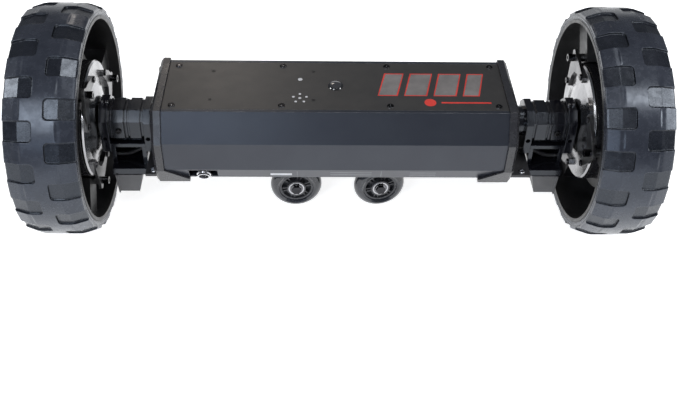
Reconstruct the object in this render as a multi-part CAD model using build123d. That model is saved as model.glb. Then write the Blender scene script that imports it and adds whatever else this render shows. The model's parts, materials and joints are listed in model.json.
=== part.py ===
from build123d import *
import os
from math import cos, radians, sin, tan

# Two-wheel electric drive unit: a box body on a through axle, a ribbed adaptor and a hub-motor wheel at
# each end, and two swivelling skate wheels under the middle.
# Millimetres. X runs along the axle, +Y is the rear, +Z is up.
# The origin is on the floor under the axle's middle.

# ---------------------------------------------------------------- driving dimensions
WHEEL_R = 152.4              # 12 inch wheel
AXLE_Z = WHEEL_R
WHEEL_IN = 315.0             # inner face of a drive wheel, from the middle plane
WHEEL_W = 85.0
WHEEL_MID = WHEEL_IN + WHEEL_W / 2
EDGE_R = 147.0               # tyre radius at its side faces
BAND_HALF = 21.5             # half width of the tyre's flat middle band
BEVEL_OUT = 27.0             # a narrow bevel leads from the band to the sloping shoulder
BEVEL_DROP = 0.8
RIM_R = 136.0                # tyre seat
RIM_BORE = 131.4
TREAD_DEPTH = 2.0
POCKETS = 18                 # tread pockets in each of the two rows
POCKET_IN = 6.5              # half width of the solid middle rib
POCKET_ARC = 9.9             # degrees
TREAD_PHASE = 22.2           # degrees up from the front, left wheel, inner row
LUG_PHASE = 58.0             # degrees up from the front, left wheel, first lug
RIGHT_TURN = -48.5           # the right wheel is the left one mirrored and turned by this angle
RIGHT_TYRE_TURN = -42.7      # its tyre sits at an angle of its own on the rim

BODY_X = -6.0                # the body sits slightly left of the wheels' middle
BODY_HALF = 220.0
BODY_TOP = 208.0
BODY_BOTTOM = 104.0
PLATE_T = 2.5
PLATE_HALF_Y = 51.3
LEDGE_HALF_Y = 38.0
CAP_T = 12.5
CAP_OUT = BODY_HALF + CAP_T
SHOE_IN = 189.5
BASE_T = 4.0

TUBE_R = 15.0
SHAFT_R = 8.5
RUN = 0.04                   # running clearance on a radius

FLANGE_IN = 247.0            # adaptor flange beside the body
FLANGE_OUT = 313.5           # adaptor flange beside the wheel
BARREL = (256.5, 302.5)
MOTOR_R = 77.5
LUG_HOLE_R = 65.0
STUD_R = 85.0

SKATE_R = 36.0
SKATE_W = 24.0
CASTER_X = -9.4              # middle of the two swivel stems
STEM_HALF = 58.6
TRAIL = 10.0
CASTER_TURN = {-1: 2.5, 1: 8.0}   # degrees that each caster has swivelled, counted about +Z

BUTTON_R = 7.8
BUTTON_TRAVEL = 2.0
BODY_OUTLINE = [(-56, 208), (-75, 170), (-73, 126), (-62, 104), (62, 104), (73, 126), (75, 170), (56, 208)]
INNER_OUTLINE = [(-54, 201.5), (-71.3, 169), (-69.8, 127), (-60, 107), (60, 107), (69.8, 127), (71.3, 169),
                 (54, 201.5)]
CAP_OUTLINE = [(-58, 210.5), (-78, 170.5), (-75.8, 125.5), (-64.5, 98), (64.5, 98), (75.8, 125.5),
               (78, 170.5), (58, 210.5)]
PLATE_SCREWS_X = (-207.5, -69.0, 69.0, 207.5)
PLATE_SCREW_Y = 43.2
BOARD_X = -94.5
BOARD_POSTS = [(BOARD_X + sx * 66.0, sy * 31.0) for sx in (-1, 1) for sy in (-1, 1)]
LENS_X = -46.0
LENS_Y = -27.0
STATUS_Y = 13.5
PORT_X = -171.0
BOSSES = [(sy * y, z) for y, z in ((47.0, 198.0), (61.5, 119.0)) for sy in (-1, 1)]


# ---------------------------------------------------------------- helpers
def save(name, shape):
    export_step(shape, f"parts/{name}.step")


def group(solids):
    """Several separate solids in one node."""
    return Compound(children=[solid.solid() if hasattr(solid, "solid") else solid for solid in solids])


def rod_x(radius, x0, x1, y=0.0, z=AXLE_Z):
    return Pos((x0 + x1) / 2, y, z) * Rot(0, 90, 0) * Cylinder(radius, abs(x1 - x0))


def rod_y(radius, y0, y1, x=0.0, z=0.0):
    return Pos(x, (y0 + y1) / 2, z) * Rot(90, 0, 0) * Cylinder(radius, abs(y1 - y0))


def rod_z(radius, z0, z1, x=0.0, y=0.0):
    return Pos(x, y, (z0 + z1) / 2) * Cylinder(radius, abs(z1 - z0))


def block(x0, x1, y0, y1, z0, z1):
    return Pos((x0 + x1) / 2, (y0 + y1) / 2, (z0 + z1) / 2) * Box(abs(x1 - x0), abs(y1 - y0), abs(z1 - z0))


def prism_x(outline, x0, x1):
    """A prism along X over a closed (y, z) outline."""
    face = make_face(Polyline(*[(x0, y, z) for y, z in outline], close=True))
    return extrude(face, amount=x1 - x0, dir=(1, 0, 0))


def spin_x(outline, z=AXLE_Z):
    """A solid of revolution about a line along X, from (x, radius) points."""
    face = make_face(Polyline(*[(x, 0, z + r) for x, r in outline], close=True))
    return revolve(face, axis=Axis((0, 0, z), (1, 0, 0)))


def octagon(half_y, z0, z1, chamfer):
    c = chamfer
    return [(-half_y + c, z0), (half_y - c, z0), (half_y, z0 + c), (half_y, z1 - c), (half_y - c, z1),
            (-half_y + c, z1), (-half_y, z1 - c), (-half_y, z0 + c)]


def at_angle(shape, degrees_up):
    """Turn a shape made at the front of the axle up by an angle, about the axle."""
    return Pos(0, 0, AXLE_Z) * Rot(-degrees_up, 0, 0) * Pos(0, 0, -AXLE_Z) * shape


def left_of(shape):
    return mirror(shape, about=Plane.YZ)


def pan_screw(head_r, head_h, shank_r, length):
    """A screw pointing down -Z from the origin, its cross-recessed head above."""
    head = Pos(0, 0, head_h / 2) * Cylinder(head_r, head_h)
    head = fillet(head.edges().group_by(Axis.Z)[-1], head_h * 0.45)
    shank = Pos(0, 0, -length / 2) * Cylinder(shank_r, length)
    slot = Box(head_r * 1.05, head_r * 0.24, head_h)
    cross = Pos(0, 0, head_h) * (slot + Rot(0, 0, 90) * slot)
    return head + shank - cross


# ---------------------------------------------------------------- body
def housing_shell():
    shell = prism_x(BODY_OUTLINE, -BODY_HALF, BODY_HALF) - prism_x(INNER_OUTLINE, -BODY_HALF, BODY_HALF)
    shell -= block(-BODY_HALF, BODY_HALF, -LEDGE_HALF_Y, LEDGE_HALF_Y, 200, BODY_TOP)
    shell -= block(-BODY_HALF, BODY_HALF, -PLATE_HALF_Y, PLATE_HALF_Y, BODY_TOP - PLATE_T, BODY_TOP + 1)
    for y, z in BOSSES:
        boss = rod_x(4.6, -BODY_HALF, BODY_HALF, y, z)
        shell += boss & prism_x(BODY_OUTLINE, -BODY_HALF, BODY_HALF)
    for y, z in BOSSES:
        for side in (-1, 1):
            shell -= rod_x(2.05, side * (BODY_HALF - 24), side * (BODY_HALF + 1), y, z)
    for x in PLATE_SCREWS_X:
        for sy in (-1, 1):
            shell -= rod_z(2.05, 195, BODY_TOP, x, sy * PLATE_SCREW_Y)
    shell -= block(PORT_X - 18.5, PORT_X + 18.5, -90, -56, 107, 123.8)
    shell -= block(PORT_X - 10, PORT_X + 10, -90, -52, 100, 108)
    for x in (-150, 0, 150):
        for sy in (-1, 1):
            shell -= rod_z(2.55, 100, 108, x, sy * 44)
    return Pos(BODY_X, 0, 0) * shell - stem_slot()


def stem_slot():
    """The opening through the housing's floor and the bottom plate for the casters' king bolts."""
    reach = STEM_HALF + 12.6
    return block(CASTER_X - reach, CASTER_X + reach, -16, 16, 90, 110)


def bottom_plate():
    plate = block(-255, 255, -57, 57, BODY_BOTTOM - BASE_T, BODY_BOTTOM) - stem_slot()
    for x in (-150, 0, 150):
        for sy in (-1, 1):
            plate -= rod_z(2.55, 90, 110, BODY_X + x, sy * 44)
    for side in (-1, 1):
        for sy in (-1, 1):
            plate -= rod_z(2.55, 90, 110, side * 244.5, sy * 50)
    return plate


def top_plate():
    half_x = BODY_HALF - 0.3
    half_y = PLATE_HALF_Y - 0.2
    plate = block(-half_x, half_x, -half_y, half_y, BODY_TOP - PLATE_T, BODY_TOP)
    for x in PLATE_SCREWS_X:
        for sy in (-1, 1):
            plate -= rod_z(2.3, 200, 210, x, sy * PLATE_SCREW_Y)
    for x, y in BOARD_POSTS:
        plate -= rod_z(2.6, 200, 210, x, y)
    for x, y, r in lens_places():
        plate -= rod_z(r, 200, 210, x, y)
    plate -= rod_z(8.6, 200, 210)
    return Pos(BODY_X, 0, 0) * plate


def lens_places():
    """One lens in the middle of a ring of five, and a status lens apart from them: x, y, radius."""
    ring = [(LENS_X + 8.8 * sin(radians(72 * k)), LENS_Y + 8.8 * cos(radians(72 * k)), 1.7) for k in range(5)]
    return ring + [(LENS_X, LENS_Y, 2.0), (LENS_X, STATUS_Y, 3.0)]


def indicator_lenses():
    """Light pipes from the board up through the top plate, each with a shoulder under the plate."""
    lenses = []
    for x, y, r in lens_places():
        pipe = rod_z(r - 0.05, BODY_TOP - PLATE_T - 1, BODY_TOP + 0.2, BODY_X + x, y)
        lenses.append(pipe + rod_z(r + 0.8, BODY_TOP - PLATE_T - 3, BODY_TOP - PLATE_T, BODY_X + x, y))
    return group(lenses)


def top_plate_screws():
    screw = pan_screw(4.3, 1.7, 1.95, 9.5)
    places = [Pos(BODY_X + x, sy * PLATE_SCREW_Y, BODY_TOP) for x in PLATE_SCREWS_X for sy in (-1, 1)]
    return group([place * screw for place in places])


def end_cap():
    """The right-hand cap, without the body's offset: a closing plate with wedge-shaped shoes front and rear."""
    cap = prism_x(CAP_OUTLINE, BODY_HALF, CAP_OUT)
    rim = [e for e in cap.edges() if abs(e.center().X - CAP_OUT) < 0.01]
    cap = chamfer(rim, 3.6)
    shoe = prism_x(CAP_OUTLINE, SHOE_IN, BODY_HALF) - prism_x(BODY_OUTLINE, SHOE_IN - 1, BODY_HALF + 1)
    wedge = make_face(Polyline((SHOE_IN, 0, 90), (SHOE_IN, 0, BODY_BOTTOM), (BODY_HALF, 0, 126),
                               (BODY_HALF, 0, 90), close=True))
    shoe &= extrude(wedge, amount=100, dir=(0, 1, 0), both=True)
    shoe -= block(SHOE_IN - 1, BODY_HALF + 1, -57.2, 57.2, 90, 104)
    cap += shoe
    cap -= block(BODY_HALF - 1, CAP_OUT + 1, -57.2, 57.2, BODY_BOTTOM - BASE_T - 3, BODY_BOTTOM)
    cap -= rod_x(TUBE_R + 0.1, BODY_HALF - 1, CAP_OUT + 1)
    cap -= rod_x(4.0, BODY_HALF - 1, CAP_OUT + 1, -12, 114)
    for y, z in BOSSES:
        cap -= rod_x(2.3, BODY_HALF - 1, CAP_OUT + 1, y, z)
    return cap


def end_cap_screws():
    screw = pan_screw(4.4, 2.6, 1.95, 30)
    one_side = [Pos(CAP_OUT, y, z) * Rot(0, 90, 0) * screw for y, z in BOSSES]
    right = [Pos(BODY_X, 0, 0) * s for s in one_side]
    left = [Pos(BODY_X, 0, 0) * left_of(s) for s in one_side]
    return group(right + left)


def bottom_plate_screws():
    upper = pan_screw(4.6, 2.4, 2.45, 6)
    lower = Rot(180, 0, 0) * pan_screw(4.6, 2.4, 2.45, 7)
    ends = [Pos(side * 244.5, sy * 50, BODY_BOTTOM) * upper for side in (-1, 1) for sy in (-1, 1)]
    under = BODY_BOTTOM - BASE_T
    middle = [Pos(BODY_X + x, sy * 44, under) * lower for x in (-150, 0, 150) for sy in (-1, 1)]
    return group(ends + middle)


def button_bezel():
    """A trim ring on the plate, its threaded neck, and the nut below in one piece with the neck."""
    lip = spin_z([(8.0, 205.5), (8.0, 209.6), (9.2, 209.6), (10.0, 208.6), (10.0, 208.0), (8.55, 208.0),
                  (8.55, 205.5)])
    neck = rod_z(8.55, 194, 205.5) - rod_z(8.0, 193, 206)
    nut = extrude(RegularPolygon(11.5, 6), amount=3)
    nut = Pos(0, 0, BODY_TOP - PLATE_T - 3) * nut - rod_z(8.3, 195, 206)
    return Pos(BODY_X, 0, 0) * (lip + neck + nut)


def spin_z(outline):
    face = make_face(Polyline(*[(r, 0, z) for r, z in outline], close=True))
    return revolve(face, axis=Axis.Z)


def power_button():
    dome = Pos(0, 0, 211.6 - 22.0) * Sphere(22.0) & rod_z(BUTTON_R, 203.5, 212)
    stem = rod_z(2.8, 194.5 + BUTTON_TRAVEL, 204)
    return Pos(BODY_X, 0, 0) * (dome + stem)


def power_switch():
    body = rod_z(7.7, 176, 194) + rod_z(7.9, 190, 194)
    pins = [Pos(x, y, 173) * Box(1.0, 3.0, 6.2) for x, y in ((-3.5, 0), (3.5, 0), (0, 4.5))]
    for pin in pins:
        body += pin
    return Pos(BODY_X, 0, 0) * body


def board_standoffs():
    posts = []
    for x, y in BOARD_POSTS:
        post = rod_z(2.55, BODY_TOP - PLATE_T, BODY_TOP, x, y) + rod_z(3.6, 197, BODY_TOP - PLATE_T, x, y)
        posts.append(Pos(BODY_X, 0, 0) * post)
    return group(posts)


def controller_board():
    board = block(BOARD_X - 71, BOARD_X + 71, -35.5, 35.5, 195.4, 197)
    for x, dx, dy, h in ((-40, 26, 22, 9), (-8, 18, 30, 12), (28, 24, 16, 6)):
        board += block(BOARD_X + x - dx / 2, BOARD_X + x + dx / 2, -dy / 2, dy / 2, 195.5 - h, 195.5)
    for k in range(3):
        board += rod_z(5, 179, 195.5, BOARD_X - 55 + 11.5 * k, 24)
    return Pos(BODY_X, 0, 0) * board


def battery_pack():
    pack = block(-128, 128, -48, 48, 107.2, 134)
    pack = fillet(pack.edges().filter_by(Axis.X), 4)
    for x in (-78, 78):
        pack += block(x - 9, x + 9, -49, 49, 107.2, 134.9)
    return Pos(BODY_X, 0, 0) * pack


def charge_port():
    """A round socket facing forward and down, on a folded backing plate behind the opening in the lip."""
    barrel = Cylinder(7.8, 16) - Pos(0, 0, 4) * Cylinder(6.2, 16)
    collar = Pos(0, 0, 3.5) * (Cylinder(9.2, 2.5) - Cylinder(7.7, 3))
    socket = Rot(114, 0, 0) * (barrel + collar)
    back = block(-19, 19, -54, -51.5, 107.2, 124)
    socket = Pos(0, -60.5, 112.5) * socket
    return Pos(BODY_X + PORT_X, 0, 0) * (socket + back)


# ---------------------------------------------------------------- axle and adaptors
def axle_tube():
    tube = rod_x(TUBE_R, -300, 300) - rod_x(10.5, -301, 301)
    for side in (-1, 1):
        sleeve = rod_x(TUBE_R - 0.5, side * 262, side * 299.5)
        sleeve -= rod_x(SHAFT_R + 0.02, side * 261, side * 301)
        tube += sleeve
    return tube


def adaptor_shell(cap_face):
    """The ribbed barrel with its two flanges, the joint ledge under it and a neck back to the end cap."""
    x0, x1 = BARREL
    shell = prism_x(octagon(22.5, 130, 174, 10), x0, x1)
    for a, b, half, top in ((282.2, 297.3, 25, 176.5), (260.7, 275.2, 25, 176.5), (278.1, 281.0, 24, 175.5),
                            (298.8, 301.2, 24.5, 176)):
        band = prism_x(octagon(half, 127, top, 11.5), a, b)
        shell += band - block(a - 1, b + 1, -40, 40, 120, 130)
    shell += prism_x(octagon(28, 104, 180.5, 14), x1, FLANGE_OUT)
    shell += prism_x(octagon(28, 104.2, 178.5, 14), FLANGE_IN, x0)
    shell += block(x0, x1, -27, 27, 124.5, 130)
    shell += rod_x(20, cap_face, FLANGE_IN)
    shell -= rod_x(TUBE_R + 0.05, cap_face - 1, 300)
    shell -= rod_x(SHAFT_R + 0.7, 299, FLANGE_OUT + 1)
    for x in (251.75, 308.0):
        shell -= rod_y(3.0, -40, -18, x, 139)
    shell -= rod_y(2.55, -40, -17, 289.7, 150)
    shell -= rod_x(4.6, FLANGE_IN - 1, x0 + 1, -12, 113)
    return shell


def adaptor_saddle():
    """The cradle under the barrel: two cheeks, a back wall and the bar that the foot bolts to."""
    x0, x1 = BARREL
    saddle = block(x0, 262, -25, 24, 92, 124.5) + block(297, x1, -25, 24, 92, 124.5)
    saddle += block(x0, x1, 18, 24, 92, 124.5)
    saddle += block(x0, x1, -37, 26, 85, 95)
    saddle -= rod_x(4.6, x0 - 1, 263, -12, 112.4)
    saddle -= rod_x(4.0, 296, x1 - 2, -12, 101)
    return saddle


def adaptor_foot():
    """The tapered block under the saddle, with a thin guard plate on the wheel side."""
    outline = Polyline((263.5, 0, 85), (296.0, 0, 85), (296.0, 0, 56), (269.5, 0, 56), close=True)
    foot = Pos(0, -38, 0) * extrude(make_face(outline), amount=46, dir=(0, 1, 0))
    guard = Polyline((296.0, 0, 85), (299.5, 0, 85), (297.5, 0, 53.5), (296.0, 0, 53.5), close=True)
    foot += Pos(0, -39, 0) * extrude(make_face(guard), amount=48, dir=(0, 1, 0))
    return foot


def adaptor_screws():
    """On each side the barrel's clamp screw at the front and two short studs on top."""
    screws = []
    for turn in (lambda s: s, left_of):
        screws.append(turn(Pos(289.7, -25, 150) * Rot(90, 0, 0) * pan_screw(4.2, 2.2, 2.5, 7.5)))
        for x, y in ((304.5, -4.0), (310.5, -4.0)):
            screws.append(turn(rod_z(1.8, 180.5, 183.2, x, y)))
    return group(screws)


def motor_cable(cap_face):
    """The cable from the adaptor's outer cheek, through the inner flange, into the end cap."""
    route = [(300.4, -12, 101), (283, -12, 101), (262, -12, 113.2), (cap_face - 10, -12, 114)]
    radii = []
    for before, corner, after in zip(route, route[1:], route[2:]):
        run_in = Vector(*corner) - Vector(*before)
        run_out = Vector(*after) - Vector(*corner)
        turn = run_in.get_angle(run_out)
        shorter = min(run_in.length, run_out.length)
        radii.append(0.45 * shorter / tan(radians(turn / 2)))
    print("motor cable radii", [round(r, 1) for r in radii])
    path = FilletPolyline(*route, radius=radii)
    section = Plane(origin=path @ 0, z_dir=path % 0) * Circle(3.0)
    return sweep(section, path=path)


# ---------------------------------------------------------------- hub motor, fixed part
def motor_shaft():
    shaft = rod_x(SHAFT_R, 263, 384)
    return shaft - rod_x(3.5, 262, 300)


def stator():
    core = rod_x(66, 334, 366) - rod_x(SHAFT_R, 333, 367)
    for k in range(12):
        slot = block(333, 367, -70, -34, AXLE_Z - 4.5, AXLE_Z + 4.5)
        core -= at_angle(slot, 30 * k)
    return core


# ------------------------------------------------- drive wheel, turning part (left wheel, made at +X)
def tyre_skin(depth, reach):
    """The tyre's outer outline pulled in by a depth, closed at an inner radius."""
    half = WHEEL_W / 2
    one_side = [(BAND_HALF, WHEEL_R), (BEVEL_OUT, WHEEL_R - BEVEL_DROP), (half - 1.6, EDGE_R),
                (half, EDGE_R - 1.6)]
    right = [(WHEEL_MID + x, r - depth) for x, r in one_side] + [(WHEEL_MID + half, reach)]
    left = [(2 * WHEEL_MID - x, r) for x, r in right]
    return left[::-1] + right


def tyre():
    solid = spin_x(tyre_skin(0, RIM_R))
    floor_ring = spin_x(tyre_skin(TREAD_DEPTH, RIM_R - 8))
    arc = 2 * WHEEL_R * sin(radians(POCKET_ARC / 2))
    length = WHEEL_W / 2 - POCKET_IN + 12
    for row, phase in ((-1, TREAD_PHASE), (1, TREAD_PHASE - 180 / POCKETS)):
        x = WHEEL_MID + row * (POCKET_IN + length / 2)
        cutter = Pos(x, -WHEEL_R, AXLE_Z) * Box(length, 16, arc)
        inner = [e for e in cutter.edges().filter_by(Axis.Y) if row * (e.center().X - x) < 0]
        cutter = fillet(inner, 5.0)
        pockets = [at_angle(cutter, phase + 360 / POCKETS * k) for k in range(POCKETS)]
        solid -= [pocket - floor_ring for pocket in pockets]
    return solid


def rim():
    """The barrel, a hub ring around the motor, and three box spokes behind the lugs."""
    half = WHEEL_W / 2
    m = WHEEL_MID
    body = spin_x([(m - half, RIM_BORE), (m - half, RIM_R), (m + half, RIM_R), (m + half, RIM_BORE)])
    body += spin_x([(346, MOTOR_R + 0.5), (346, 90), (392, 90), (392, MOTOR_R + 0.5)])
    for k in range(3):
        spoke = block(330, 392, -RIM_BORE - 1, -MOTOR_R - 0.5, AXLE_Z - 17, AXLE_Z + 17)
        spoke -= block(334, 393, -RIM_BORE - 0.5, -96, AXLE_Z - 13, AXLE_Z + 13)
        spoke -= rod_x(MOTOR_R + 0.5, 300, 400)
        body += at_angle(spoke, LUG_PHASE + 120 * k)
        body -= at_angle(rod_x(3.1, 320, 353, -STUD_R, AXLE_Z), LUG_PHASE + 120 * k)
    for k in range(6):
        rib = block(386, 392, -RIM_BORE - 1, -86, AXLE_Z - 7, AXLE_Z + 7)
        body += at_angle(rib, LUG_PHASE + 30 + 60 * k)
    return body


def motor_housing():
    """The turning can: a drum closed at the outer side, with the outer bearing's seat."""
    can = spin_x([(326, 72), (326, MOTOR_R), (382, MOTOR_R), (388, 70), (391, 40), (391, 0), (386, 0),
                  (386, 8.8), (384.6, 8.8), (384.6, 17.5), (372.5, 17.5), (372.5, 22), (380, 40), (379, 72)])
    return can


def motor_cover():
    """The polished shallow dome on the body side, with a flat ring for the lugs and a bearing seat."""
    return spin_x([(326, MOTOR_R), (323.5, MOTOR_R), (321.5, 75.5), (321.5, 56), (320.4, 49), (317.6, 38),
                   (315.6, 28), (315.1, 20), (315.1, 9.3), (317, 9.3), (317, 17.5), (327, 17.5), (327, 22),
                   (322.5, 38), (325, 54), (326, 62)])


def motor_bearings():
    seats = ((317, 327), (372.5, 382.5))
    return group([rod_x(17.5, a, b) - rod_x(SHAFT_R + RUN, a - 1, b + 1) for a, b in seats])


def motor_lug():
    """A flat bracket at the front of the axle: two feet on the cover's ring and a tab out to the spoke."""
    foot_y = LUG_HOLE_R * cos(radians(30))
    foot_z = LUG_HOLE_R * sin(radians(30))
    upper = [(-foot_y + 3, foot_z + 7), (-78, 20), (-88, 8), (-96, 4)]
    notch = [(-foot_y + 8, -foot_z), (-62, -13), (-66, 0), (-62, 13), (-foot_y + 8, foot_z)]
    corners = upper + [(y, -z) for y, z in reversed(upper)] + notch
    outline = Polyline(*[(0, y, z) for y, z in corners], close=True)
    plate = Pos(317.5, 0, AXLE_Z) * extrude(make_face(outline), amount=4, dir=(1, 0, 0))
    plate = fillet(plate.edges().filter_by(Axis.X), 2.5)
    for sz in (-1, 1):
        plate -= rod_x(2.55, 316, 323, -foot_y, AXLE_Z + sz * foot_z)
    plate += rod_x(5.5, 321.5, 330, -STUD_R, AXLE_Z)
    return plate - rod_x(3.1, 316, 331, -STUD_R, AXLE_Z)


def motor_lugs():
    return group([at_angle(motor_lug(), LUG_PHASE + 120 * k) for k in range(3)])


def lug_screws():
    screw = Rot(0, -90, 0) * pan_screw(4.3, 2.6, 2.5, 4)
    screws = []
    for k in range(3):
        for side in (-30, 30):
            placed = Pos(317.5, -LUG_HOLE_R, AXLE_Z) * screw
            screws.append(at_angle(placed, LUG_PHASE + 120 * k + side))
    return group(screws)


def lug_bolts():
    """Socket-head bolts from the body side, through each tab into a spoke."""
    bolt = rod_x(5.0, 308.5, 317.5, -STUD_R) + rod_x(2.98, 317.5, 345.5, -STUD_R)
    bolt -= rod_x(2.6, 308, 313.5, -STUD_R)
    return group([at_angle(bolt, LUG_PHASE + 120 * k) for k in range(3)])


def wheel_nodes():
    return {"tyre": tyre(), "rim": rim(), "motor_housing": motor_housing(), "motor_cover": motor_cover(),
            "motor_lugs": motor_lugs(), "lug_screws": lug_screws(), "lug_bolts": lug_bolts(),
            "motor_bearings": motor_bearings()}


# ---------------------------------------------------------------- caster
def caster_crossbar():
    bar = block(-92, 92, -26, 26, 92.5, 100)
    bar = fillet(bar.edges().filter_by(Axis.Z), 6)
    for side in (-1, 1):
        bar -= rod_z(5.0, 91, 101, side * STEM_HALF)
    return Pos(CASTER_X, 0, 0) * bar


def king_bolts():
    bolt = rod_z(8.0, 74.6, 77.6) + rod_z(5.0, 77.6, 104)
    nut = Pos(0, 0, 100) * extrude(RegularPolygon(9, 6), amount=6)
    return group([Pos(CASTER_X + side * STEM_HALF, 0, 0) * (bolt + nut) for side in (-1, 1)])


def swivel_bearings():
    ring = rod_z(16, 82.4, 92.5) - rod_z(5.05, 82, 93)
    return group([Pos(CASTER_X + side * STEM_HALF, 0, 0) * ring for side in (-1, 1)])


def caster_arm():
    """One-sided: a swivel head over the wheel and a leg down behind it. Made about its stem."""
    head = rod_z(17, 74, 82.2) + block(0, TRAIL + 10, -17, 20, 74, 82.2)
    head += block(-10, TRAIL + 10, 0, 20, 74, 82.2)
    leg = block(TRAIL - 10, TRAIL + 10, 14.6, 20, SKATE_R, 80) + rod_y(10, 14.6, 20, TRAIL, SKATE_R)
    leg += rod_y(6, 12.4, 14.6, TRAIL, SKATE_R)
    arm = head + leg
    arm -= rod_z(5.0 + RUN, 73, 83)
    arm -= rod_z(8.3, 73, 77.9)
    return arm - rod_y(4.0, 10, 21, TRAIL, SKATE_R)


def caster_axle():
    bolt = rod_y(4.0 - RUN, -16.5, 20, TRAIL, SKATE_R)
    head = Pos(TRAIL, 20, SKATE_R) * Rot(-90, 0, 0) * extrude(RegularPolygon(7.4, 6), amount=5)
    nut = Pos(TRAIL, -12.2, SKATE_R) * Rot(90, 0, 0) * extrude(RegularPolygon(7.0, 6), amount=4.3)
    return bolt + head + nut


def skate_tyre():
    half = SKATE_W / 2
    crown = ThreePointArc((-half, SKATE_R - 9), (-half * 0.62, SKATE_R - 2.4), (0, SKATE_R))
    other = ThreePointArc((0, SKATE_R), (half * 0.62, SKATE_R - 2.4), (half, SKATE_R - 9))
    rest = Polyline((half, SKATE_R - 9), (half - 1.5, 24), (9, 23.5), (-9, 23.5), (-half + 1.5, 24),
                    (-half, SKATE_R - 9))
    face = make_face(crown + other + rest)
    solid = revolve(face, axis=Axis.X)
    return Pos(TRAIL, 0, SKATE_R) * Rot(0, 0, 90) * solid


def skate_core():
    hub = rod_y(13.2, -12, 12) - rod_y(11.0, -12.1, -5) - rod_y(11.0, 5, 12.1) - rod_y(6.6, -6, 6)
    ring = rod_y(23.5, -9, 9) - rod_y(20.6, -10, 10)
    web = rod_y(21, -1.5, 1.5) - rod_y(12.5, -2, 2)
    core = hub + ring + web
    for k in range(12):
        angle = 30 * k + (7 if k % 2 else -7)
        rib = block(12.6, 21, -7.5, 7.5, -0.8, 0.8)
        core += Rot(0, angle, 0) * rib
    return Pos(TRAIL, 0, SKATE_R) * core


def skate_bearings():
    rings = [rod_y(11.0, a, b) - rod_y(4.0 + RUN, a - 1, b + 1) for a, b in ((-12, -5), (5, 12))]
    spacer = rod_y(6.2, -5, 5) - rod_y(4.0 + RUN, -6, 6)
    return group([Pos(TRAIL, 0, SKATE_R) * ring for ring in rings + [spacer]])


def at_stem(shape, side):
    return Pos(CASTER_X + side * STEM_HALF, 0, 0) * Rot(0, 0, CASTER_TURN[side]) * shape


# ---------------------------------------------------------------- write every node
os.makedirs("parts", exist_ok=True)

nodes = {
    "housing_shell": housing_shell(),
    "bottom_plate": bottom_plate(),
    "top_plate": top_plate(),
    "top_plate_screws": top_plate_screws(),
    "end_cap_right": Pos(BODY_X, 0, 0) * end_cap(),
    "end_cap_left": Pos(BODY_X, 0, 0) * left_of(end_cap()),
    "end_cap_screws": end_cap_screws(),
    "bottom_plate_screws": bottom_plate_screws(),
    "button_bezel": button_bezel(),
    "power_button": power_button(),
    "power_switch": power_switch(),
    "indicator_lenses": indicator_lenses(),
    "board_standoffs": board_standoffs(),
    "controller_board": controller_board(),
    "battery_pack": battery_pack(),
    "charge_port": charge_port(),
    "axle_tube": axle_tube(),
    "adaptor_screws": adaptor_screws(),
    "caster_crossbar": caster_crossbar(),
    "king_bolts": king_bolts(),
    "swivel_bearings": swivel_bearings(),
}

CAP_FACE = {"right": CAP_OUT + BODY_X, "left": CAP_OUT - BODY_X}
wheel = wheel_nodes()
for side, place in (("left", left_of), ("right", lambda shape: shape)):
    nodes[f"adaptor_shell_{side}"] = place(adaptor_shell(CAP_FACE[side]))
    nodes[f"adaptor_saddle_{side}"] = place(adaptor_saddle())
    nodes[f"adaptor_foot_{side}"] = place(adaptor_foot())
    nodes[f"motor_cable_{side}"] = place(motor_cable(CAP_FACE[side]))
    nodes[f"motor_shaft_{side}"] = place(motor_shaft())
    nodes[f"stator_{side}"] = place(stator())
    for name, shape in wheel.items():
        turn = RIGHT_TYRE_TURN if name == "tyre" else RIGHT_TURN
        turned = at_angle(shape, turn) if side == "right" else shape
        nodes[f"{name}_{side}"] = place(turned)
    sign = 1 if side == "right" else -1
    nodes[f"caster_arm_{side}"] = at_stem(caster_arm(), sign)
    nodes[f"caster_axle_{side}"] = at_stem(caster_axle(), sign)
    nodes[f"skate_tyre_{side}"] = at_stem(skate_tyre(), sign)
    nodes[f"skate_core_{side}"] = at_stem(skate_core(), sign)
    nodes[f"skate_bearings_{side}"] = at_stem(skate_bearings(), sign)

for name, shape in nodes.items():
    save(name, shape)
print(len(nodes), "nodes")
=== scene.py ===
"""Looks of the two-wheel electric drive unit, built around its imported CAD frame.

Metres, +X along the axle, +Y to the rear, +Z up. Values in mm are multiplied by MM where they are used.
"""

import json
import math

import bpy
import numpy as np
from mathutils import Matrix, Vector


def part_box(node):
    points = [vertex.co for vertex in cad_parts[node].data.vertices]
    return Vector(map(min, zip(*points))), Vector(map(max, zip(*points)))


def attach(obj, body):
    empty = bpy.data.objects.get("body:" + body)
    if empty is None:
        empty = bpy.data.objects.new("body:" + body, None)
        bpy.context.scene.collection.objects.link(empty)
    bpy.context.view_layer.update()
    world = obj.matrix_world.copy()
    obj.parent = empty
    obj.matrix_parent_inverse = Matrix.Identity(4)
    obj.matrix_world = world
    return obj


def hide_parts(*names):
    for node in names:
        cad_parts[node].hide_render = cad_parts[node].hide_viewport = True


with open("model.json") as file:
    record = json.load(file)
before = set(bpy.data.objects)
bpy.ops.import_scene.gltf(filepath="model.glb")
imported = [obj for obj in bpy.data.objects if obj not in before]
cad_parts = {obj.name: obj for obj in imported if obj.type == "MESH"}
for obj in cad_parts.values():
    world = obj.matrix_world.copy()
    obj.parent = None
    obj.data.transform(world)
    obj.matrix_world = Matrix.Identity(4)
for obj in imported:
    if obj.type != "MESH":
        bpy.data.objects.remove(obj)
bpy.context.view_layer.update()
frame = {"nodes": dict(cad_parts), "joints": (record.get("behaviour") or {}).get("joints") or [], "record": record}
NODES = frame["nodes"]
MM = 0.001
SIDES = (("left", -1), ("right", 1))


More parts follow.
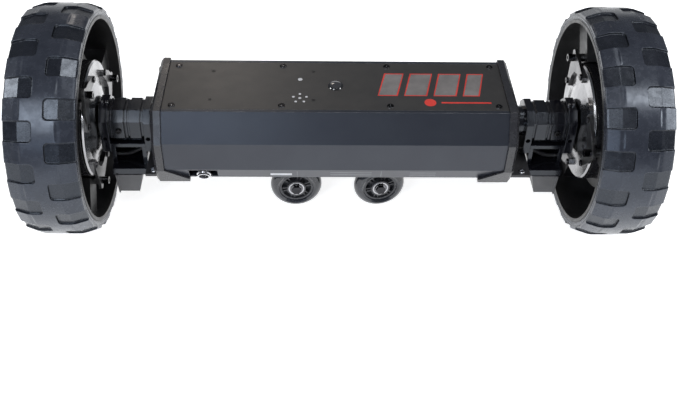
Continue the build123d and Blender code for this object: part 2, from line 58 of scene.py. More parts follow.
# ---------------------------------------------------------------- materials: building blocks
class Look:
    """A Principled material that grows by short calls. Its textures follow object coordinates."""

    def __init__(self, name, roughness=0.4, metallic=0.0, **sockets):
        self.material = bpy.data.materials.new(name)
        self.material.use_nodes = True
        self.tree = self.material.node_tree
        self.shader = self.tree.nodes["Principled BSDF"]
        self.shader.inputs["Roughness"].default_value = roughness
        self.shader.inputs["Metallic"].default_value = metallic
        for socket, value in sockets.items():
            self.shader.inputs[socket.replace("_", " ")].default_value = value
        self.place = self.node("ShaderNodeTexCoord").outputs["Object"]
        self.edge_normal = None
        self.height = None

    def node(self, kind, **settings):
        made = self.tree.nodes.new(kind)
        for key, value in settings.items():
            setattr(made, key, value)
        return made

    def link(self, source, target):
        if isinstance(source, (int, float)):
            target.default_value = source
        elif isinstance(source, tuple):
            target.default_value = (*source, 1.0) if len(source) == 3 and target.type == "RGBA" else source
        else:
            self.tree.links.new(source, target)

    def from_line(self, point, axis):
        """Distance in mm from a line, such as a wheel's axle."""
        away = self.node("ShaderNodeVectorMath", operation="SUBTRACT")
        self.link(self.place, away.inputs[0])
        away.inputs[1].default_value = point
        across = self.node("ShaderNodeVectorMath", operation="CROSS_PRODUCT")
        self.link(away.outputs[0], across.inputs[0])
        across.inputs[1].default_value = Vector(axis).normalized()
        length = self.node("ShaderNodeVectorMath", operation="LENGTH")
        self.link(across.outputs[0], length.inputs[0])
        return self.math("DIVIDE", length.outputs["Value"], MM)

    def math(self, operation, a, b):
        made = self.node("ShaderNodeMath", operation=operation)
        self.link(a, made.inputs[0])
        self.link(b, made.inputs[1])
        return made.outputs[0]

    def noise(self, scale, detail=3.0, rough=0.55, stretch=(1, 1, 1)):
        """Noise from 0 to 1. The scale is in features per metre; a stretch under 1 draws the features out."""
        at = self.node("ShaderNodeMapping")
        at.inputs["Scale"].default_value = stretch
        self.link(self.place, at.inputs["Vector"])
        made = self.node("ShaderNodeTexNoise")
        self.link(at.outputs[0], made.inputs["Vector"])
        for socket, value in (("Scale", scale), ("Detail", detail), ("Roughness", rough)):
            made.inputs[socket].default_value = value
        return made.outputs["Fac"]

    def cell_edges(self, scale):
        """Distance to the nearest border between random cells; the scale is in cells per metre."""
        made = self.node("ShaderNodeTexVoronoi", feature="DISTANCE_TO_EDGE")
        self.link(self.place, made.inputs["Vector"])
        made.inputs["Scale"].default_value = scale
        return made.outputs["Distance"]

    def remap(self, value, low, high, to_low=0.0, to_high=1.0):
        made = self.node("ShaderNodeMapRange")
        for socket, number in zip(range(1, 5), (low, high, to_low, to_high)):
            made.inputs[socket].default_value = number
        self.link(value, made.inputs[0])
        return made.outputs[0]

    def blend(self, factor, a, b):
        made = self.node("ShaderNodeMix", data_type="RGBA")
        self.link(factor, made.inputs["Factor"])
        self.link(a, made.inputs["A"])
        self.link(b, made.inputs["B"])
        return made.outputs["Result"]

    def rounded(self, radius_mm):
        """Light catches the edges as if they were rounded by this radius."""
        made = self.node("ShaderNodeBevel", samples=4)
        made.inputs["Radius"].default_value = radius_mm * MM
        self.edge_normal = made.outputs[0]
        return self

    def edges(self, low, high):
        """From 0 on flat stretches to 1 on edges. Needs rounded() first."""
        dot = self.node("ShaderNodeVectorMath", operation="DOT_PRODUCT")
        self.link(self.edge_normal, dot.inputs[0])
        self.link(self.node("ShaderNodeNewGeometry").outputs["Normal"], dot.inputs[1])
        return self.remap(self.math("SUBTRACT", 1.0, dot.outputs["Value"]), low, high)

    def bump(self, value, depth_mm):
        """Adds a height of this depth to the relief."""
        scaled = self.math("MULTIPLY", value, depth_mm * MM)
        self.height = scaled if self.height is None else self.math("ADD", self.height, scaled)
        return self

    def colour(self, source):
        self.link(source, self.shader.inputs["Base Color"])
        return self

    def rough(self, source):
        self.link(source, self.shader.inputs["Roughness"])
        return self

    def done(self):
        if self.height is not None:
            relief = self.node("ShaderNodeBump")
            relief.inputs["Strength"].default_value = 1.0
            relief.inputs["Distance"].default_value = 1.0
            self.link(self.height, relief.inputs["Height"])
            if self.edge_normal is not None:
                self.link(self.edge_normal, relief.inputs["Normal"])
            self.link(relief.outputs[0], self.shader.inputs["Normal"])
        elif self.edge_normal is not None:
            self.link(self.edge_normal, self.shader.inputs["Normal"])
        return self.material


def plastic(name, dark, light, rough=(0.35, 0.5), grain_mm=0.6, grain_depth=0.02, edge=None, radius=0.5,
            **sockets):
    """Moulded or painted surface: cloudy colour, fine grain, uneven gloss and rubbed edges."""
    look = Look(name, **sockets).rounded(radius)
    cloud = look.noise(38.0, 4.0, 0.6)
    base = look.blend(look.remap(cloud, 0.3, 0.7), dark, light)
    if edge:
        lightened = look.math("MULTIPLY", look.edges(0.03, 0.3), look.remap(look.noise(160.0, 3.0), 0.42, 0.62))
        base = look.blend(lightened, base, edge)
    look.colour(base)
    look.rough(look.remap(look.noise(70.0, 5.0, 0.7), 0.3, 0.7, *rough))
    look.bump(look.noise(1.0 / (grain_mm * MM), 3.0, 0.6), grain_depth)
    return look.done()


def metal(name, colour, rough, brush=(1, 1, 1), brush_depth=0.004, tarnish=0.8, radius=0.35):
    """Bare metal: brushed or turned lines, faint tarnish and fingered gloss."""
    look = Look(name, metallic=1.0).rounded(radius)
    dull = tuple(c * tarnish for c in colour)
    look.colour(look.blend(look.remap(look.noise(55.0, 4.0, 0.65), 0.35, 0.7), colour, dull))
    lines = look.noise(900.0, 2.0, 0.6, brush)
    smear = look.noise(45.0, 4.0, 0.6)
    mixed = look.math("ADD", look.math("MULTIPLY", lines, 0.5), look.math("MULTIPLY", smear, 0.5))
    look.rough(look.remap(mixed, 0.35, 0.65, *rough))
    look.bump(lines, brush_depth)
    return look.done()


# ---------------------------------------------------------------- materials: one for each kind of surface
def rubber():
    """Glossy dark tread rubber, dusty in patches. Painted shade: pocket floors are painted darker and pocket walls
    nearly black, with their reflection turned down.
    """
    look = Look("tyre_rubber", IOR=1.5, Specular_Tint=(0.80, 0.88, 1.0, 1.0))
    cloud = look.remap(look.noise(30.0, 5.0, 0.6), 0.35, 0.68)
    block = look.blend(cloud, (0.016, 0.018, 0.025), (0.027, 0.030, 0.040))
    # Painted shade: the pocket floors get a darker colour where shade falls in the tread.
    pocket = look.node("ShaderNodeAttribute", attribute_name="pocket").outputs["Fac"]
    base = look.blend(pocket, block, look.blend(cloud, (0.006, 0.007, 0.010), (0.012, 0.013, 0.018)))
    dust = look.math("MULTIPLY", look.remap(look.noise(420.0, 3.0, 0.7), 0.58, 0.75), 0.3)
    # Painted shade: the pocket walls are painted nearly black and lose most of their reflection.
    wall_shade = look.node("ShaderNodeAttribute", attribute_name="wall_shade").outputs["Fac"]
    look.colour(look.blend(wall_shade, look.blend(dust, base, (0.045, 0.048, 0.056)), (0.001, 0.001, 0.001)))
    look.link(look.remap(wall_shade, 0.0, 1.0, 0.5, 0.04), look.shader.inputs["Specular IOR Level"])
    look.rough(look.remap(look.noise(120.0, 5.0, 0.7), 0.3, 0.72, 0.19, 0.34))
    look.bump(look.noise(420.0, 4.0, 0.65), 0.010)
    look.bump(look.noise(60.0, 2.0, 0.5), 0.035)
    return look.done()


def anodised(name, dark, light, rough):
    """Extruded aluminium: die lines along X under a dark anodised skin."""
    look = Look(name, metallic=0.35).rounded(1.1)
    lines = look.noise(700.0, 2.0, 0.6, (0.004, 1, 1))
    base = look.blend(look.remap(look.noise(14.0, 4.0, 0.6), 0.35, 0.7), dark, light)
    lightened = look.math("MULTIPLY", look.edges(0.03, 0.25), look.remap(look.noise(90.0, 4.0), 0.45, 0.6))
    look.colour(look.blend(lightened, base, (0.16, 0.16, 0.17)))
    smear = look.math("MULTIPLY", look.noise(24.0, 5.0), 0.88)
    uneven = look.math("ADD", look.math("MULTIPLY", lines, 0.12), smear)
    look.rough(look.remap(uneven, 0.2, 0.8, *rough))
    look.bump(lines, 0.0015)
    look.bump(look.noise(2600.0, 2.0), 0.006)
    return look.done()


def turned(name, colour, rough, point, axis):
    """Metal turned on a lathe about a line: fine rings, seen best where the light is sharp."""
    look = Look(name, metallic=1.0).rounded(0.4)
    ring = look.node("ShaderNodeTexNoise", noise_dimensions="1D")
    look.link(look.from_line(point, axis), ring.inputs["W"])
    ring.inputs["Scale"].default_value = 1.5
    ring.inputs["Detail"].default_value = 3.0
    smear = look.noise(50.0, 4.0, 0.65)
    look.colour(look.blend(look.remap(smear, 0.4, 0.75), colour, tuple(c * 0.72 for c in colour)))
    rings = look.math("MULTIPLY", ring.outputs["Fac"], 0.3)
    uneven = look.math("ADD", look.math("MULTIPLY", smear, 0.7), rings)
    look.rough(look.remap(uneven, 0.3, 0.7, *rough))
    look.bump(ring.outputs["Fac"], 0.0035)
    look.bump(look.noise(26.0, 2.0), 0.25)
    return look.done()


def urethane():
    """Cast polyurethane of the skate tyres: smoky and a little translucent."""
    look = Look("skate_urethane", IOR=1.5, Coat_Weight=0.6, Coat_Roughness=0.07, Specular_IOR_Level=0.4)
    cloud = look.remap(look.noise(90.0, 4.0), 0.3, 0.7)
    base = look.blend(cloud, (0.012, 0.013, 0.018), (0.022, 0.025, 0.033))
    scuff = look.remap(look.noise(260.0, 5.0, 0.7), 0.58, 0.72)
    look.colour(look.blend(scuff, base, (0.07, 0.073, 0.085)))
    look.rough(look.remap(look.noise(180.0, 5.0, 0.7), 0.3, 0.7, 0.12, 0.30))
    look.bump(look.noise(500.0, 3.0), 0.012)
    return look.done()


SHIELD_IN, SHIELD_OUT = 6.6, 9.3    # mm, radii of a skate bearing's shield
SHIELD_BLUR = 0.2
SOCKET_R = 9.4                      # mm, where the charge socket's nickel ends
SOCKET_BLUR = 0.2
RECESS_TOP, RECESS_FLOOR = 0.35, 0.9    # mm below the top of a screw's head, over which the painted glint in the cross recess fades in


def skate_bearing(joint):
    """A small ball bearing seen from the side: bright rings with a dull shield between them."""
    look = Look("skate_bearing_" + joint["name"], metallic=1.0).rounded(0.25)
    radius = look.from_line(joint["pos_m"], joint["axis"])
    inner = look.remap(radius, SHIELD_IN - SHIELD_BLUR, SHIELD_IN + SHIELD_BLUR)
    outer = look.remap(radius, SHIELD_OUT + SHIELD_BLUR, SHIELD_OUT - SHIELD_BLUR)
    shield = look.math("MULTIPLY", inner, outer)
    speck = look.remap(look.noise(900.0, 3.0, 0.7), 0.4, 0.62)
    bright = look.blend(speck, (0.56, 0.56, 0.58), (0.40, 0.40, 0.42))
    look.colour(look.blend(shield, bright, look.blend(speck, (0.20, 0.20, 0.21), (0.10, 0.10, 0.11))))
    look.rough(look.remap(look.noise(400.0, 4.0), 0.3, 0.7, 0.12, 0.34))
    look.bump(look.math("SUBTRACT", 1.0, shield), 0.15)
    return look.done()


def socket_metal(mount):
    """Nickel for the round socket, black for the backing plate around it."""
    look = Look("charge_socket", metallic=1.0).rounded(0.3)
    radius = look.from_line(mount["pos_m"], mount["axis"])
    plate = look.remap(radius, SOCKET_R, SOCKET_R + SOCKET_BLUR)
    nickel = look.blend(look.noise(500.0, 3.0), (0.74, 0.74, 0.76), (0.52, 0.52, 0.54))
    black = look.blend(look.noise(300.0), (0.006, 0.006, 0.007), (0.012, 0.012, 0.013))
    look.colour(look.blend(plate, nickel, black))
    duller = look.math("MULTIPLY", plate, 0.4)
    look.rough(look.remap(look.math("ADD", duller, look.noise(400.0, 4.0)), 0.3, 1.1, 0.12, 0.6))
    return look.done()


def plate_screw(head_top):
    """Black screw heads with a painted glint: the cross recess is painted bright in patches where light would
    catch it.
    """
    look = Look("plate_screw", metallic=1.0).rounded(0.2)
    split = look.node("ShaderNodeSeparateXYZ")
    look.link(look.place, split.inputs[0])
    recess = look.remap(split.outputs["Z"], head_top - RECESS_TOP * MM, head_top - RECESS_FLOOR * MM)
    # Painted glint: patches of the cross recess are painted bright.
    lightened = look.math("MULTIPLY", recess, look.remap(look.noise(1300.0, 2.0), 0.38, 0.55))
    black = look.blend(look.noise(600.0), (0.015, 0.015, 0.016), (0.035, 0.035, 0.038))
    look.colour(look.blend(lightened, black, (0.60, 0.60, 0.62)))
    look.rough(look.remap(look.noise(500.0, 3.0), 0.3, 0.7, 0.14, 0.3))
    return look.done()


def clamp_screw(split_z):
    """Adaptor screws: bare zinc above this height, black below it."""
    look = Look("adaptor_screw", metallic=1.0).rounded(0.25)
    split = look.node("ShaderNodeSeparateXYZ")
    look.link(look.place, split.inputs[0])
    above = look.math("GREATER_THAN", split.outputs["Z"], split_z)
    zinc = look.blend(look.noise(500.0), (0.45, 0.46, 0.48), (0.62, 0.63, 0.66))
    black = look.blend(look.noise(500.0), (0.012, 0.012, 0.013), (0.03, 0.03, 0.032))
    look.colour(look.blend(above, black, zinc))
    look.rough(look.remap(look.noise(400.0, 4.0), 0.3, 0.7, 0.14, 0.32))
    return look.done()


def lens():
    """Milky clear plastic of the light pipes."""
    look = Look("light_pipe", IOR=1.49, Coat_Weight=0.6, Coat_Roughness=0.06)
    look.colour(look.blend(look.remap(look.noise(900.0), 0.3, 0.7), (0.36, 0.36, 0.37), (0.60, 0.60, 0.62)))
    look.rough(look.remap(look.noise(700.0), 0.3, 0.7, 0.15, 0.3))
    return look.done()


def circuit():
    """Green board with a net of raised tracks."""
    look = Look("circuit_board", IOR=1.5).rounded(0.2)
    trace = look.remap(look.cell_edges(220.0), 0.02, 0.06)
    look.colour(look.blend(trace, (0.03, 0.16, 0.07), (0.008, 0.05, 0.025)))
    look.rough(look.remap(look.noise(200.0), 0.3, 0.7, 0.25, 0.45))
    look.bump(trace, -0.02)
    return look.done()


def print_ink(name, dark, light):
    return plastic(name, dark, light, grain_mm=0.35, grain_depth=0.006, radius=0.02)


AXLE_Z = sum(c.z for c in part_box("rim_left")) / 2
STUD_Z = AXLE_Z + 25.6 * MM   # the adaptors' upper studs stand above this height
CHARGE_MOUNT = next(m for m in frame["record"]["mounts"] if m["name"] == "charge_socket")
MATERIAL = {
    "housing": anodised("anodised_housing", (0.024, 0.027, 0.037), (0.029, 0.033, 0.043), (0.27, 0.36)),
    "plate": plastic("satin_top_plate", (0.026, 0.025, 0.025), (0.034, 0.032, 0.031), (0.33, 0.39),
                     0.25, 0.008, (0.12, 0.12, 0.12), 0.3),
    "base_plate": plastic("painted_base", (0.018, 0.018, 0.020), (0.030, 0.030, 0.033), (0.4, 0.55),
                          0.4, 0.015, (0.10, 0.10, 0.105)),
    "cap": plastic("moulded_end_cap", (0.016, 0.016, 0.019), (0.026, 0.026, 0.030), (0.22, 0.34),
                   0.45, 0.018, (0.10, 0.10, 0.11), 0.7),
    "adaptor": plastic("gloss_black_casting", (0.003, 0.003, 0.005), (0.007, 0.007, 0.009), (0.12, 0.24),
                       0.9, 0.014, (0.04, 0.04, 0.05), 1.5, Coat_Weight=0.25, Coat_Roughness=0.08,
                       Specular_IOR_Level=0.36, Specular_Tint=(0.78, 0.87, 1.0, 1.0)),
    "foot": plastic("grey_foot_block", (0.050, 0.050, 0.054), (0.075, 0.075, 0.080), (0.35, 0.5),
                    0.5, 0.02, (0.16, 0.16, 0.17), 0.5),
    "cable": plastic("cable_jacket", (0.008, 0.008, 0.009), (0.014, 0.014, 0.016), (0.28, 0.42), 0.5, 0.02),
    "black_screw": metal("blackened_steel", (0.055, 0.055, 0.06), (0.10, 0.24), tarnish=0.5, radius=0.3),
    "zinc_screw": metal("zinc_plated", (0.62, 0.63, 0.66), (0.18, 0.34), tarnish=0.7),
    "bezel": plastic("gloss_black_ring", (0.006, 0.006, 0.007), (0.010, 0.010, 0.012), (0.06, 0.14),
                     0.8, 0.004, None, 0.35, Coat_Weight=1.0, Coat_Roughness=0.04),
    "button": plastic("gloss_black_button", (0.020, 0.020, 0.022), (0.032, 0.032, 0.035), (0.10, 0.20),
                      0.8, 0.004, None, 0.4, Coat_Weight=1.0, Coat_Roughness=0.03),
    "switch": plastic("switch_body", (0.010, 0.010, 0.011), (0.018, 0.018, 0.020)),
    "lens": lens(),
    "standoff": metal("brushed_standoff", (0.06, 0.06, 0.062), (0.3, 0.5), tarnish=0.6, radius=0.5),
    "board": circuit(),
    "battery": plastic("battery_wrap", (0.02, 0.05, 0.16), (0.03, 0.07, 0.21), (0.25, 0.4), 1.2, 0.03),
    "port": socket_metal(CHARGE_MOUNT),
    "steel": metal("ground_steel", (0.55, 0.55, 0.57), (0.16, 0.3), (0.02, 1, 1)),
    "copper": metal("stator_laminations", (0.50, 0.30, 0.20), (0.3, 0.5), (30, 1, 1)),
    "tyre": rubber(),
    "rim": plastic("black_rim", (0.003, 0.003, 0.0035), (0.007, 0.007, 0.008), (0.30, 0.5),
                   2.6, 0.10, (0.025, 0.025, 0.028), 0.8),
    "motor_can": plastic("painted_motor_can", (0.008, 0.008, 0.009), (0.013, 0.013, 0.015), (0.2, 0.34),
                         0.7, 0.02, (0.06, 0.06, 0.065), 0.8),
    "motor_cover": turned("polished_motor_cover", (0.34, 0.34, 0.35), (0.12, 0.27),
                          (0, 0, AXLE_Z), (1, 0, 0)),
    "lug": metal("brushed_lug", (0.21, 0.21, 0.215), (0.26, 0.42), (1, 0.05, 1), 0.008, 0.6, 0.5),
    "bearing": metal("bearing_steel", (0.66, 0.66, 0.68), (0.08, 0.2), tarnish=0.85),
    "caster_steel": plastic("painted_caster_steel", (0.010, 0.010, 0.011), (0.018, 0.018, 0.020), (0.25, 0.4),
                            0.6, 0.02, (0.12, 0.12, 0.125), 0.5),
    "skate_tyre": urethane(),
    "skate_core": plastic("skate_core_plastic", (0.030, 0.031, 0.036), (0.055, 0.056, 0.062), (0.20, 0.36),
                          0.5, 0.02, (0.14, 0.14, 0.15), 0.5),
}
SLOT_OF = {row["node"]: row["material_slot"] for row in frame["record"]["subparts"]}


def dress(obj, material):
    obj.data.materials.clear()
    obj.data.materials.append(material)


for name, obj in NODES.items():
    dress(obj, MATERIAL[SLOT_OF[name]])
dress(NODES["top_plate_screws"], plate_screw(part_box("top_plate_screws")[1].z))
dress(NODES["adaptor_screws"], clamp_screw(STUD_Z))
for joint in frame["joints"]:
    for side, _ in SIDES:
        if joint["child"] == f"skate_wheel_{side}":
            dress(NODES[f"skate_bearings_{side}"], skate_bearing(joint))


# ---------------------------------------------------------------- mesh helpers
def piece(name, verts, faces, material, body, smooth=False):
    mesh = bpy.data.meshes.new(name)
    mesh.from_pydata([tuple(v) for v in verts], [], faces)
    mesh.validate()
    mesh.update()
    obj = bpy.data.objects.new(name, mesh)
    bpy.context.scene.collection.objects.link(obj)
    mesh.materials.append(material)
    if smooth:
        mesh.polygons.foreach_set("use_smooth", [True] * len(mesh.polygons))
    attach(obj, body)
    return obj


def prism(outline, low, high):
    """Vertices and faces of a prism along Z over an (x, y) outline."""
    n = len(outline)
    verts = [(x, y, low) for x, y in outline] + [(x, y, high) for x, y in outline]
    faces = [tuple(range(n - 1, -1, -1)), tuple(range(n, 2 * n))]
    faces += [(i, (i + 1) % n, n + (i + 1) % n, n + i) for i in range(n)]
    return verts, faces


# ---------------------------------------------------------------- drive tyres
POCKETS = 18
PERIOD = 360.0 / POCKETS
POCKET_HALF = 4.95           # degrees
POCKET_IN = 6.5              # mm from the middle plane to a pocket's inner wall
CORNER = 5.0                 # mm, corner radius of a pocket
WALL = 1.0                   # mm, width of a pocket's sloped wall
TREAD_DEPTH = 2.4
TREAD_PHASE = {"left": 22.2, "right": -20.5}    # degrees each tyre is turned by at rest
BAND_HALF = 21.5             # mm, the flat running band
BEVEL_OUT = 27.0             # mm, outer rim of the narrow bevel beside the band
BEVEL_DROP = 0.8
CREASE = 23.8                # mm, where a pocket's floor folds down
CHAMFER = 1.6
EDGE_R = 147.0               # mm, radius at the tread's outer edge
SEAT_R = 136.0               # mm, radius where the tyre meets the rim
SIDE_GROOVES = (141.2, 138.0)    # mm, radii of the two fine grooves in each side
GROOVE = 0.55                # mm, their depth and half their width


def tread_stations():
    """Angles round the tyre, close together where the pockets of both rows have their walls."""
    near_walls = [2.8 + 0.2 * k for k in range(22)]
    half = [0.0, 1.0, 2.0] + near_walls + [7.8, 8.9]
    mirrored = {round(PERIOD - a, 4) for a in half[1:]}
    period = sorted({round(a, 4) for a in half} | mirrored | {PERIOD / 2})
    return [k * PERIOD + a for k in range(POCKETS) for a in period]


def tyre_columns(crown_r, half_width):
    """Columns across the tyre. Each has x from the middle plane, the blocks' radius, the radius that the
    pocket floors are sunk from, and the share of a pocket's depth that it takes."""
    across = [0, 3, 5.6, 6.2, 6.5, 6.75, 7.0, 7.3, 7.6, 8.0, 8.5, 9.1, 9.8, 10.5, 11.2, 13.5, 16.5, 19.5,
              21.2, 21.8, 23.4, 23.8, 24.2, 25.5, 26.7, 27.3, 29.5, 32.5, 36.0, 38.5]
    shoulder = half_width - CHAMFER
    half = []
    for x in across:
        floor = np.interp(x, (0, CREASE, shoulder), (crown_r, crown_r, EDGE_R))
        block = np.interp(x, (0, BAND_HALF, BEVEL_OUT, shoulder),
                          (crown_r, crown_r, crown_r - BEVEL_DROP, EDGE_R))
        half.append((x, block, floor, 1.0))
    for x, radius, share in ((shoulder - 0.15, EDGE_R, 1.0), (shoulder + 0.75, EDGE_R - 0.45, 1.0),
                             (half_width - 0.1, EDGE_R - 1.4, 1.0), (half_width, EDGE_R - 2.4, 0.85),
                             (half_width, EDGE_R - 3.9, 0.45), (half_width, 141.9, 0.0)):
        half.append((x, radius, radius, share))
    for groove in SIDE_GROOVES:
        for deep, out in ((0, GROOVE), (GROOVE, 0.3), (GROOVE, -0.3), (0, -GROOVE)):
            half.append((half_width - deep, groove + out, groove + out, 0.0))
    half.append((half_width - 0.1, SEAT_R + 0.8, SEAT_R + 0.8, 0.0))
    half.append((half_width - 0.7, SEAT_R, SEAT_R, 0.0))
    return [(-x, block, floor, share) for x, block, floor, share in reversed(half[1:])] + half


def off_centre(x, angle):
    """Degrees from the nearest pocket's middle. The angle counts from the middle of an inner-row pocket."""
    centre = 0.0 if x < 0 else PERIOD / 2
    return np.abs((angle - centre + PERIOD / 2) % PERIOD - PERIOD / 2)


def flattened(off, half):
    """How much nearer the axle a flat facet is than the arc through its two ends."""
    return np.where(off < half, math.cos(math.radians(half)) / np.cos(np.radians(off)), 1.0)


def in_pocket(x, angle, radius):
    """From 0 on a block to 1 on a pocket's floor."""
    off = off_centre(x, angle)
    from_side = np.radians(POCKET_HALF - off) * radius
    from_end = np.full_like(from_side, abs(x) - POCKET_IN)
    inside = np.minimum(from_side, from_end)
    near = (from_side < CORNER) & (from_end < CORNER)
    corner = CORNER - np.hypot(CORNER - from_side, CORNER - from_end)
    inside = np.where(near, corner, inside)
    t = np.clip(inside / WALL, 0, 1)
    return t * t * (3 - 2 * t)


def drive_tyre(side, sign):
    low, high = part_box(f"tyre_{side}")
    middle = abs(low.x + high.x) / 2
    half_width = (high.x - low.x) / 2 / MM
    crown_r = (high.z - low.z) / 2 / MM
    angles = np.array(tread_stations())
    columns = tyre_columns(crown_r, half_width)
    place = np.radians(angles + TREAD_PHASE[side])
    grid, walls, pockets = [], [], []
    for x, block, floor, share in columns:
        sunk = share * in_pocket(x, angles, crown_r)
        off = off_centre(x, angles)
        flat_block = flattened(PERIOD / 2 - off, PERIOD / 2 - POCKET_HALF)
        facet = 1 + (flat_block - 1) * share * (abs(x) > BAND_HALF)
        top = block * facet
        bottom = (floor - TREAD_DEPTH) * flattened(off, POCKET_HALF)
        r = (top + sunk * (bottom - top)) * MM
        # The wall values paint shade on the pocket walls, strongest halfway down; the pocket values paint shade on
        # the pocket floors.
        walls.append(4 * sunk * (1 - sunk))
        pockets.append(sunk)
        xs = np.full_like(r, sign * (middle + x * MM))
        grid.append(np.stack([xs, -r * np.cos(place), AXLE_Z + r * np.sin(place)], axis=1))
    rows, around = len(columns), len(angles)
    verts = np.concatenate(grid)
    i = np.arange(rows)[:, None]
    k = np.arange(around)[None, :]
    a = i * around + k
    b = i * around + (k + 1) % around
    c = ((i + 1) % rows) * around + (k + 1) % around
    d = ((i + 1) % rows) * around + k
    order = (a, b, c, d) if sign < 0 else (a, d, c, b)
    faces = np.stack(order, axis=-1).reshape(-1, 4)
    tyre = piece(f"block_tread_tyre_{side}", verts, faces.tolist(), MATERIAL["tyre"], f"drive_wheel_{side}",
                 True)
    # These two attributes carry the tyre rubber's painted shade.
    for name, values in (("wall_shade", walls), ("pocket", pockets)):
        shade = tyre.data.attributes.new(name, "FLOAT", "POINT")
        shade.data.foreach_set("value", np.concatenate(values))
    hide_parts(f"tyre_{side}")


for side, sign in SIDES:
    drive_tyre(side, sign)


# ---------------------------------------------------------------- prints on the body
PLATE_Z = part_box("top_plate")[1].z
BAR_FRONT, BAR_BACK, BAR_LEAN = -21, 28, 11    # mm, the slanted bars' ends in y, and how far they lean in x
BAR_FRAME = 1.6                                # mm, width of their red frames
DOT_X, DOT_Y, DOT_R = 114.7, -34.8, 7.6        # mm
LIP_TOP, LIP_BOTTOM = (-73, 126), (-62, 104)   # mm, y and z of the edges of the lip under the front face
GREY_INK = print_ink("grey_ink", (0.12, 0.112, 0.11), (0.19, 0.175, 0.17))
RED_INK = print_ink("red_ink", (0.46, 0.030, 0.022), (0.60, 0.045, 0.034))
WHITE_INK = print_ink("white_ink", (0.42, 0.43, 0.45), (0.60, 0.61, 0.63))
FAINT_INK = print_ink("faint_ink", (0.09, 0.093, 0.105), (0.14, 0.144, 0.158))


def slant_bar(x0, x1, inset=0.0):
    """A bar whose ends lean over: outline corners in mm, seen from above."""
    front, back = BAR_FRONT + inset, BAR_BACK - inset
    return [(x0 + inset, front), (x1 - inset, front), (x1 + BAR_LEAN - inset, back),
            (x0 + BAR_LEAN + inset, back)]


def ring_faces(outer, inner, low, high):
    """A flat frame between two outlines with as many corners."""
    n = len(outer)
    verts = [(x, y, z) for z in (low, high) for x, y in outer + inner]
    faces = []
    for i in range(n):
        j = (i + 1) % n
        faces += [(i, n + i, n + j, j), (2 * n + i, 2 * n + j, 3 * n + j, 3 * n + i),
                  (i, j, 2 * n + j, 2 * n + i), (n + j, n + i, 3 * n + i, 3 * n + j)]
    return verts, faces


def on_plate(name, outline, hole, material, lift=0.08):
    """A printed shape on the top plate; with a hole outline it is a frame."""
    low, high = PLATE_Z / MM + 0.01, PLATE_Z / MM + lift
    verts, faces = prism(outline, low, high) if hole is None else ring_faces(outline, hole, low, high)
    return piece(name, [Vector(v) * MM for v in verts], faces, material, "chassis")


def plate_print():
    """Four slanted bars in a row with red frames, a red dot and a thin red line."""
    bars = ((48, 74), (82, 112), (120, 150), (158, 180))
    for number, (x0, x1) in enumerate(bars):
        hole = slant_bar(x0, x1, BAR_FRAME)
        on_plate(f"print_bar_frame_{number}", slant_bar(x0, x1), hole, RED_INK)
        on_plate(f"print_bar_{number}", slant_bar(x0, x1, BAR_FRAME + 0.1), None, GREY_INK, 0.06)
    turns = [math.tau * k / 40 for k in range(40)]
    dot = [(DOT_X + DOT_R * math.cos(a), DOT_Y + DOT_R * math.sin(a)) for a in turns]
    on_plate("print_dot", dot, None, RED_INK)
    on_plate("print_line", [(129, -36.4), (193, -36.4), (193, -33.4), (129, -33.4)], None, RED_INK)


plate_print()


def on_lip(name, x0, x1, start, end, material):
    """A printed strip on the folded lip under the front face; start and end are shares of the way down it."""
    top, bottom = Vector((0, LIP_TOP[0], LIP_TOP[1])), Vector((0, LIP_BOTTOM[0], LIP_BOTTOM[1]))
    down = bottom - top
    out = Vector((0, down.z, -down.y)).normalized()
    verts = []
    for lift in (0.01, 0.07):
        for x, share in ((x0, start), (x0, end), (x1, end), (x1, start)):
            verts.append((top + down * share + out * lift + Vector((x, 0, 0))) * MM)
    faces = [(3, 2, 1, 0), (4, 5, 6, 7), (0, 1, 5, 4), (1, 2, 6, 5), (2, 3, 7, 6), (3, 0, 4, 7)]
    piece(name, verts, faces, material, "chassis")


def lip_print():
    """A pale bar, two upright ticks and faint stripes in place of the small print."""
    on_lip("lip_bar", -90, -62, 0.46, 0.72, WHITE_INK)
    for number, x in enumerate((-55.0, 54.6)):
        on_lip(f"lip_tick_{number}", x - 0.5, x + 0.5, 0.14, 0.86, FAINT_INK)
    for number, (x0, x1) in enumerate(((-12, 42), (92, 126))):
        for row in (0.28, 0.58):
            on_lip(f"lip_stripe_{number}_{int(row * 100)}", x0, x1, row, row + 0.12, FAINT_INK)


lip_print()


# ---------------------------------------------------------------- stage, light and camera
GLOW_CENTRE = (0, 0.6, 0)             # m, middle of the part of the floor that glows
GLOW_FROM, GLOW_TO = 1480.0, 1900.0   # mm, where the glow starts to fade and where it ends
GLOW = 0.80
FLOOR_HALF = 12                       # m


def stage():
    look = Look("pale_floor", roughness=0.8)
    look.colour(look.blend(look.noise(6.0, 3.0), (0.84, 0.84, 0.84), (0.88, 0.88, 0.88)))
    look.shader.inputs["Emission Color"].default_value = (1.0, 1.0, 1.0, 1.0)
    reach = look.from_line(GLOW_CENTRE, (0, 0, 1))
    look.link(look.remap(reach, GLOW_FROM, GLOW_TO, GLOW, 0.0), look.shader.inputs["Emission Strength"])
    corners = [(x * FLOOR_HALF, y * FLOOR_HALF, 0) for x, y in ((-1, -1), (1, -1), (1, 1), (-1, 1))]
    mesh = bpy.data.meshes.new("studio_floor")
    mesh.from_pydata(corners, [], [(0, 1, 2, 3)])
    floor = bpy.data.objects.new("studio_floor", mesh)
    bpy.context.scene.collection.objects.link(floor)
    mesh.materials.append(look.done())


def softbox(name, place, target, size, watts, colour=(1, 1, 1)):
    data = bpy.data.lights.new(name, "AREA")
    data.shape = "RECTANGLE"
    data.size, data.size_y = size
    data.energy = watts
    data.color = colour
    lamp = bpy.data.objects.new(name, data)
    bpy.context.scene.collection.objects.link(lamp)
    lamp.location = place
    lamp.rotation_mode = "QUATERNION"
    lamp.rotation_quaternion = (Vector(target) - Vector(place)).to_track_quat("-Z", "Y")


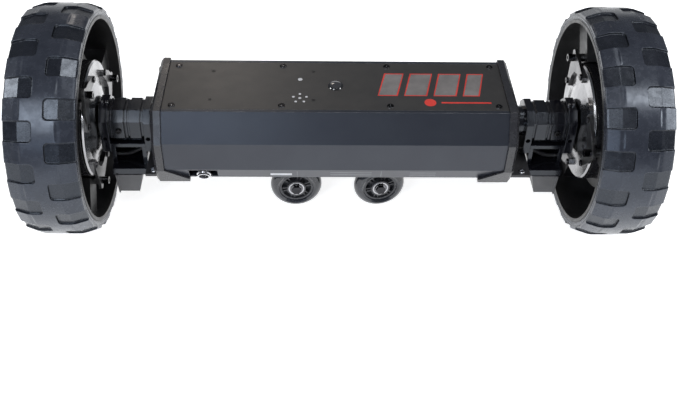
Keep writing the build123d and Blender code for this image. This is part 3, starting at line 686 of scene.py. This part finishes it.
def lights():
    left_wheel, right_wheel, body = (-0.36, -0.1, 0.25), (0.36, -0.1, 0.25), (0, 0, 0.17)
    softbox("left_side", (-2.14, -0.36, 1.45), left_wheel, (0.62, 0.50), 15, (0.96, 0.98, 1.0))
    softbox("right_side", (2.27, -0.62, 1.10), right_wheel, (0.75, 0.75), 24, (0.96, 0.98, 1.0))
    softbox("front_left", (-1.08, -2.12, 1.87), left_wheel, (0.60, 1.28), 24, (0.88, 0.93, 1.0))
    softbox("front_right", (1.13, -1.11, 2.07), right_wheel, (0.55, 0.50), 12)
    softbox("low_front", (-0.62, -2.55, 0.80), body, (0.75, 0.45), 5.5, (0.70, 0.82, 1.0))
    softbox("front_top", (0.0, -1.45, 2.00), body, (0.55, 0.40), 6)
    softbox("rear_horizon", (0.0, 3.2, 0.45), body, (3.6, 0.9), 7)
    softbox("overhead", (0.42, -0.08, 2.35), left_wheel, (0.60, 0.55), 12)
    softbox("rear_left", (-0.42, 2.05, 1.50), body, (0.45, 0.40), 2.6, (1.0, 0.90, 0.80))
    world = bpy.data.worlds.new("studio")
    bpy.context.scene.world = world
    world.use_nodes = True
    backdrop = world.node_tree.nodes["Background"]
    backdrop.inputs["Color"].default_value = (0.84, 0.91, 1.0, 1.0)
    backdrop.inputs["Strength"].default_value = 0.17
    bpy.context.scene.view_settings.view_transform = "Standard"


CAMERA_PLACE = (-0.03672, -0.97871, 0.93339)
YAW, PITCH, ROLL = (math.radians(a) for a in (2.16, 38.01, 1.66))
LENS_MM, SENSOR_MM, SHIFT_Y = 49.594, 36.0, -0.14573


def camera():
    forward = Vector((math.sin(YAW) * math.cos(PITCH), math.cos(YAW) * math.cos(PITCH), -math.sin(PITCH)))
    level = Vector((math.cos(YAW), -math.sin(YAW), 0))
    top = level.cross(forward)
    right = level * math.cos(ROLL) + top * math.sin(ROLL)
    up = top * math.cos(ROLL) - level * math.sin(ROLL)
    data = bpy.data.cameras.new("camera")
    data.lens = LENS_MM
    data.sensor_width = SENSOR_MM
    data.shift_y = SHIFT_Y
    made = bpy.data.objects.new("camera", data)
    bpy.context.scene.collection.objects.link(made)
    made.matrix_world = Matrix.Translation(CAMERA_PLACE) @ Matrix((right, up, -forward)).transposed().to_4x4()
    bpy.context.scene.camera = made


stage()
lights()
camera()

bpy.context.view_layer.update()
